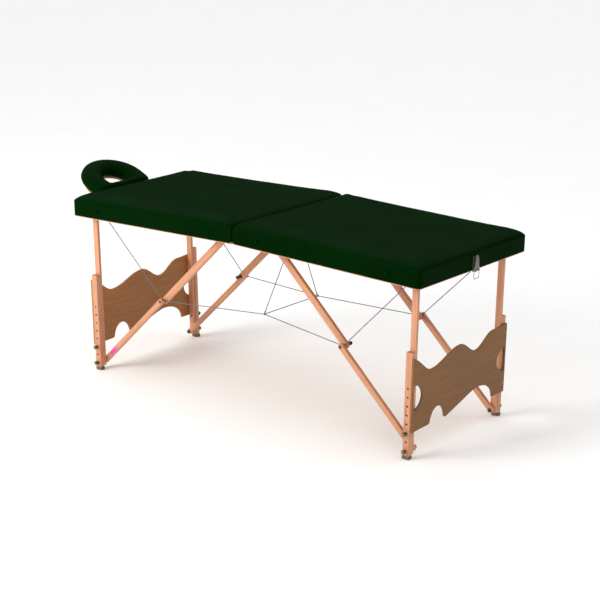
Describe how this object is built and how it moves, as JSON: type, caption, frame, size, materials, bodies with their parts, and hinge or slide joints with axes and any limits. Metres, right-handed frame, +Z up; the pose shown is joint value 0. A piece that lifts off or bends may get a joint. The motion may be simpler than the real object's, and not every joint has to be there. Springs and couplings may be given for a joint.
{
  "type": "portable massage table",
  "caption": "Folding massage table with a padded two-part top, wooden knee-braced legs, cable stays, wavy end panels and a tilting face rest.",
  "frame": {"origin": "on the floor under the middle of the box around the whole table, headrest and latch included", "axes": "+X along the table from the headrest end to the latch end, +Y across it from the bumper side to the handle side, +Z up"},
  "size_m": [2.1391, 0.76, 0.8828],
  "materials": {
    "vinyl": "smooth upholstery vinyl, semi-matt",
    "beech": "clear-varnished beech",
    "plywood": "birch plywood, unfinished",
    "panel": "stained plywood, satin",
    "steel": "zinc plated",
    "brass": "satin brass plated",
    "knob": "aged brass",
    "rubber": "matt",
    "dark_plastic": "moulded, matt",
    "bumper": "dark green button, satin",
    "strap": "woven webbing",
    "cable": "clear plastic-coated steel cable"
  },
  "bodies": {
    "left_half": {"left_side_rails": "beech", "left_end_rail": "beech", "left_centre_rail": "beech", "left_deck": "plywood", "left_pad": "vinyl", "left_cover_skirt": "vinyl", "left_bumpers": "bumper", "left_handle": "strap", "left_pivot_blocks": "beech", "left_pivot_bolts": "steel", "left_hinge_leaf": "brass", "left_cables": "cable", "hinge_pin": "steel", "centre_cables": "cable", "latch_keeper": "steel"},
    "right_half": {"right_side_rails": "beech", "right_end_rail": "beech", "right_centre_rail": "beech", "right_deck": "plywood", "right_pad": "vinyl", "right_cover_skirt": "vinyl", "right_bumpers": "bumper", "right_handle": "strap", "right_pivot_blocks": "beech", "right_pivot_bolts": "steel", "right_hinge_leaf": "brass", "right_cables": "cable", "latch_base": "steel"},
    "left_legs": {"left_upper_legs": "beech", "left_leg_extensions": "beech", "left_end_panel": "panel", "left_rubber_feet": "rubber", "left_height_bolts": "steel", "left_height_knobs": "knob", "left_panel_screws": "brass"},
    "left_upper_brace": {"left_upper_braces": "beech", "left_knee_pins": "dark_plastic"},
    "left_lower_brace": {"left_lower_braces": "beech", "left_knee_bushes": "steel"},
    "right_legs": {"right_upper_legs": "beech", "right_leg_extensions": "beech", "right_end_panel": "panel", "right_rubber_feet": "rubber", "right_height_bolts": "steel", "right_height_knobs": "knob", "right_panel_screws": "brass"},
    "right_upper_brace": {"right_upper_braces": "beech", "right_knee_pins": "dark_plastic"},
    "right_lower_brace": {"right_lower_braces": "beech", "right_knee_bushes": "steel"},
    "latch_lever": {"latch_lever": "steel"},
    "latch_loop": {"latch_loop": "steel"},
    "headrest_base": {"headrest_posts": "steel", "headrest_bar": "beech"},
    "headrest_top": {"headrest_platform": "plywood", "headrest_lugs": "steel", "headrest_cushion": "vinyl"},
    "headrest_clamp": {"headrest_pivot": "steel", "headrest_lever": "dark_plastic"}
  },
  "joints": [
    {"name": "centre_fold", "type": "hinge", "parent": "left_half", "child": "right_half", "pos_m": [0.12592, 0, 0.72825], "axis": [0, 1, 0], "range_deg": [0, 95], "deforming": ["centre_cables"]},
    {"name": "left_leg_fold", "type": "hinge", "parent": "left_half", "child": "left_legs", "pos_m": [-0.74068, 0, 0.74238], "axis": [0, -1, 0], "range_deg": [0, 90], "deforming": ["left_cables"]},
    {"name": "left_upper_brace_swing", "type": "hinge", "parent": "left_half", "child": "left_upper_brace", "pos_m": [0.03508, 0, 0.76174], "axis": [0, -1, 0], "range_deg": [-42.5, 0]},
    {"name": "left_lower_brace_swing", "type": "hinge", "parent": "left_legs", "child": "left_lower_brace", "pos_m": [-0.72301, 0, 0.0346], "axis": [0, -1, 0], "range_deg": [0, 47.8]},
    {"name": "right_leg_fold", "type": "hinge", "parent": "right_half", "child": "right_legs", "pos_m": [0.99252, 0, 0.74238], "axis": [0, 1, 0], "range_deg": [0, 90], "deforming": ["right_cables"]},
    {"name": "right_upper_brace_swing", "type": "hinge", "parent": "right_half", "child": "right_upper_brace", "pos_m": [0.21677, 0, 0.76174], "axis": [0, 1, 0], "range_deg": [-42.5, 0]},
    {"name": "right_lower_brace_swing", "type": "hinge", "parent": "right_legs", "child": "right_lower_brace", "pos_m": [0.97486, 0, 0.0346], "axis": [0, 1, 0], "range_deg": [0, 47.8]},
    {"name": "latch_swing", "type": "hinge", "parent": "right_half", "child": "latch_lever", "pos_m": [1.06418, 0, 0.70758], "axis": [0, 1, 0], "range_deg": [0, 120]},
    {"name": "latch_loop_swing", "type": "hinge", "parent": "latch_lever", "child": "latch_loop", "pos_m": [1.06453, 0, 0.72157], "axis": [0, 1, 0], "range_deg": [-120, 0]},
    {"name": "headrest_slide", "type": "slide", "parent": "left_half", "child": "headrest_base", "axis": [-0.9997, 0, -0.025], "range_m": [0, 0.12]},
    {"name": "headrest_tilt", "type": "hinge", "parent": "headrest_base", "child": "headrest_top", "pos_m": [-0.87367, 0, 0.70005], "axis": [0, 1, 0], "range_deg": [-34, 8]},
    {"name": "headrest_clamp_turn", "type": "hinge", "parent": "headrest_base", "child": "headrest_clamp", "pos_m": [-0.87367, 0, 0.70005], "axis": [0, -1, 0], "range_deg": [0, 90]}
  ],
  "couplings": [
    {"joint": "left_upper_brace_swing", "follows": "left_leg_fold", "ratio": -0.4708},
    {"joint": "left_lower_brace_swing", "follows": "left_leg_fold", "ratio": 0.5292},
    {"joint": "right_upper_brace_swing", "follows": "right_leg_fold", "ratio": -0.4708},
    {"joint": "right_lower_brace_swing", "follows": "right_leg_fold", "ratio": 0.5292},
    {"joint": "latch_loop_swing", "follows": "latch_swing", "ratio": -1}
  ]
}
